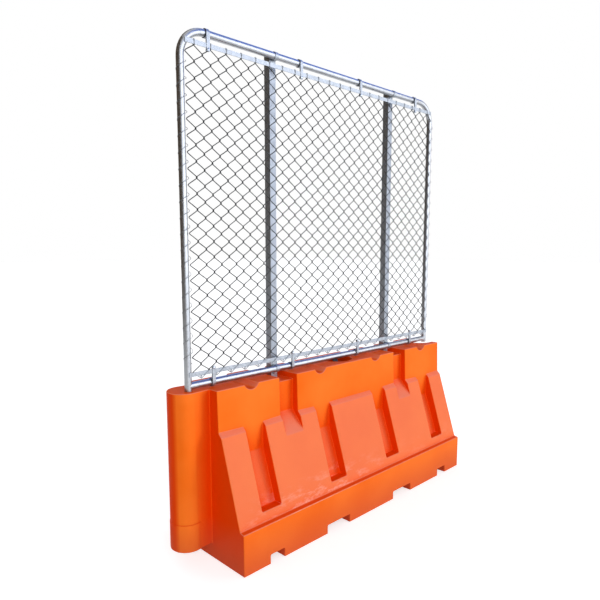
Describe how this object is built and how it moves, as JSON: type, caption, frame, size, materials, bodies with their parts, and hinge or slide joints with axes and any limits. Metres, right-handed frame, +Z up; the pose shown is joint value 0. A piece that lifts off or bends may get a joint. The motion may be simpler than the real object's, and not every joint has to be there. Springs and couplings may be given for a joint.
{
  "type": "barrier fence panel",
  "caption": "Hollow orange plastic road barrier for water ballast, with coupling tongue and socket, carrying a galvanised chain-link fence panel on square posts.",
  "frame": {"origin": "on the ground, midway between the barrier's two end faces and between its front and back", "axes": "+X along the barrier towards its socket end, +Y away from the meshed side, +Z up"},
  "size_m": [2.5455, 0.78, 3.0426],
  "materials": {
    "orange_polyethylene": "satin, as moulded",
    "black_plastic": "satin",
    "galvanised_tube": "galvanised",
    "galvanised_flat": "galvanised",
    "galvanised_wire": "galvanised"
  },
  "bodies": {
    "root": {"barrier_shell": "orange_polyethylene", "filler_cap": "black_plastic", "fence_hoop": "galvanised_tube", "bottom_rail": "galvanised_tube", "left_post": "galvanised_tube", "right_post": "galvanised_tube", "top_tension_bar": "galvanised_flat", "bottom_tension_bar": "galvanised_flat", "top_band_1": "galvanised_flat", "top_band_2": "galvanised_flat", "top_band_3": "galvanised_flat", "top_band_4": "galvanised_flat", "bottom_band_1": "galvanised_flat", "bottom_band_2": "galvanised_flat", "bottom_band_3": "galvanised_flat", "bottom_band_4": "galvanised_flat", "top_clamp_left": "galvanised_flat", "top_clamp_right": "galvanised_flat", "bottom_clamp_left": "galvanised_flat", "bottom_clamp_right": "galvanised_flat", "mesh_left": "galvanised_wire", "mesh_middle": "galvanised_wire", "mesh_right": "galvanised_wire"}
  },
  "joints": []
}
